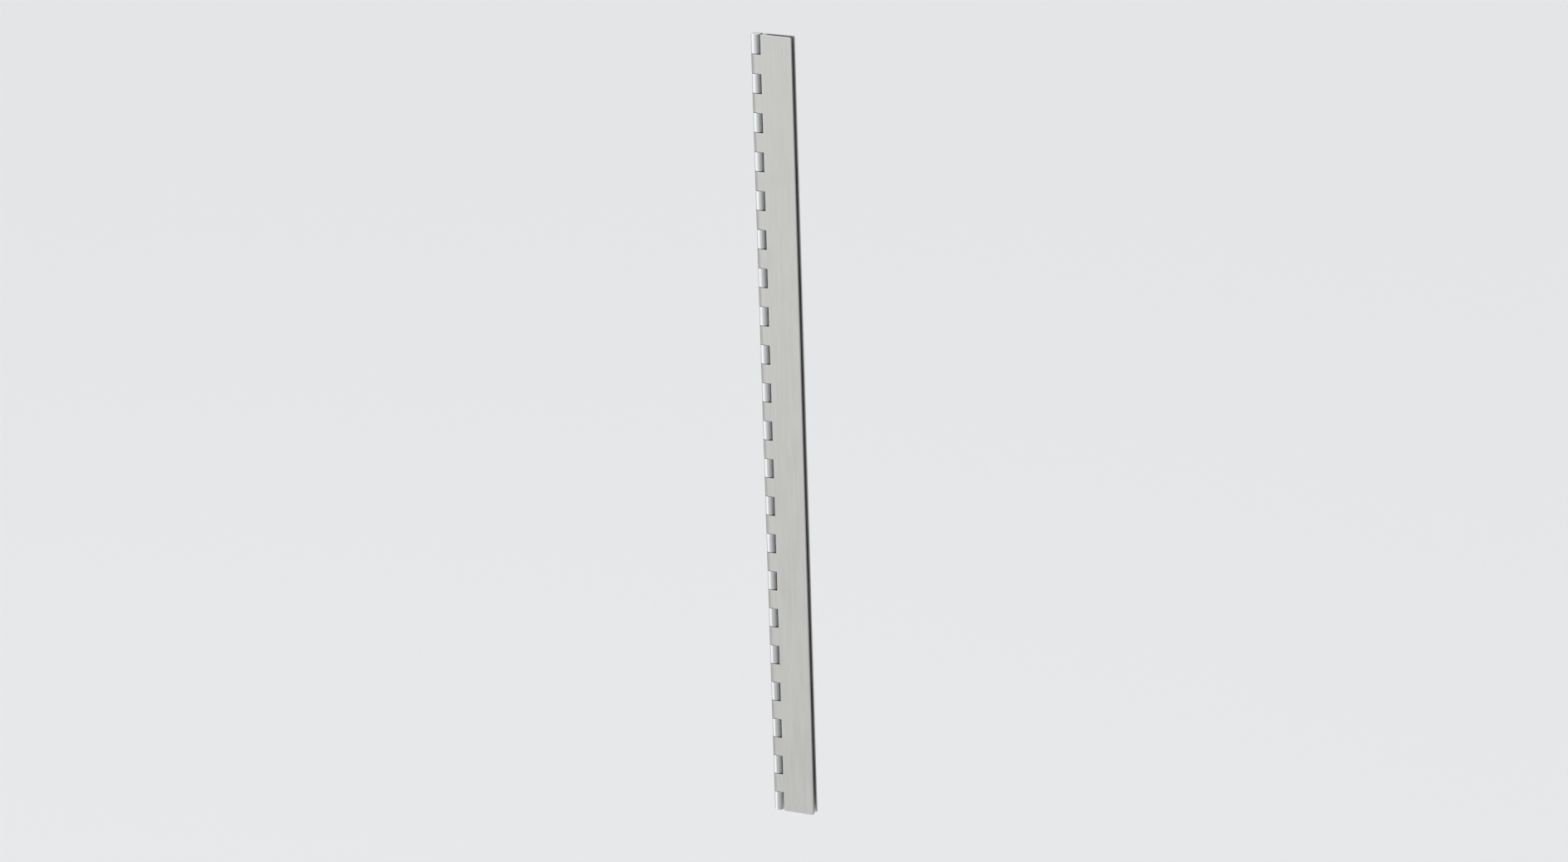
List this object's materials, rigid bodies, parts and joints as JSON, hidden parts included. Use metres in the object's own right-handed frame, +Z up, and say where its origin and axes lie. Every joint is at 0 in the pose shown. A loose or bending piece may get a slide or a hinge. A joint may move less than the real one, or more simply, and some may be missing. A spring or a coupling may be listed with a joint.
{
  "type": "piano hinge",
  "caption": "Long piano hinge with two plain leaves for welding, interleaved curled knuckles and one staked full-length pin.",
  "frame": {"origin": "middle of the frame leaf's back face, on its weld line: 15.875 mm from the pin's axis and halfway along the hinge", "axes": "+Z up along the pin, +Y out of the frame leaf's back face into the cabinet it is welded to, +X from the pin towards the free edges of both leaves with the hinge closed"},
  "size_m": [0.0286, 0.0063, 0.5206],
  "materials": {
    "frame_leaf_steel": "bright rolled stainless steel, with fine grain along the strip",
    "door_leaf_steel": "satin stainless steel with a warm tint, with fine grain along the strip",
    "pin_steel": "drawn stainless steel wire, smooth"
  },
  "bodies": {
    "frame": {"frame_leaf": "frame_leaf_steel", "hinge_pin": "pin_steel"},
    "door": {"door_leaf": "door_leaf_steel"}
  },
  "joints": [
    {"name": "door_swing", "type": "hinge", "parent": "frame", "child": "door", "pos_m": [-0.01588, -0.00317, 0], "axis": [0, 0, -1], "range_deg": [0, 270]}
  ]
}
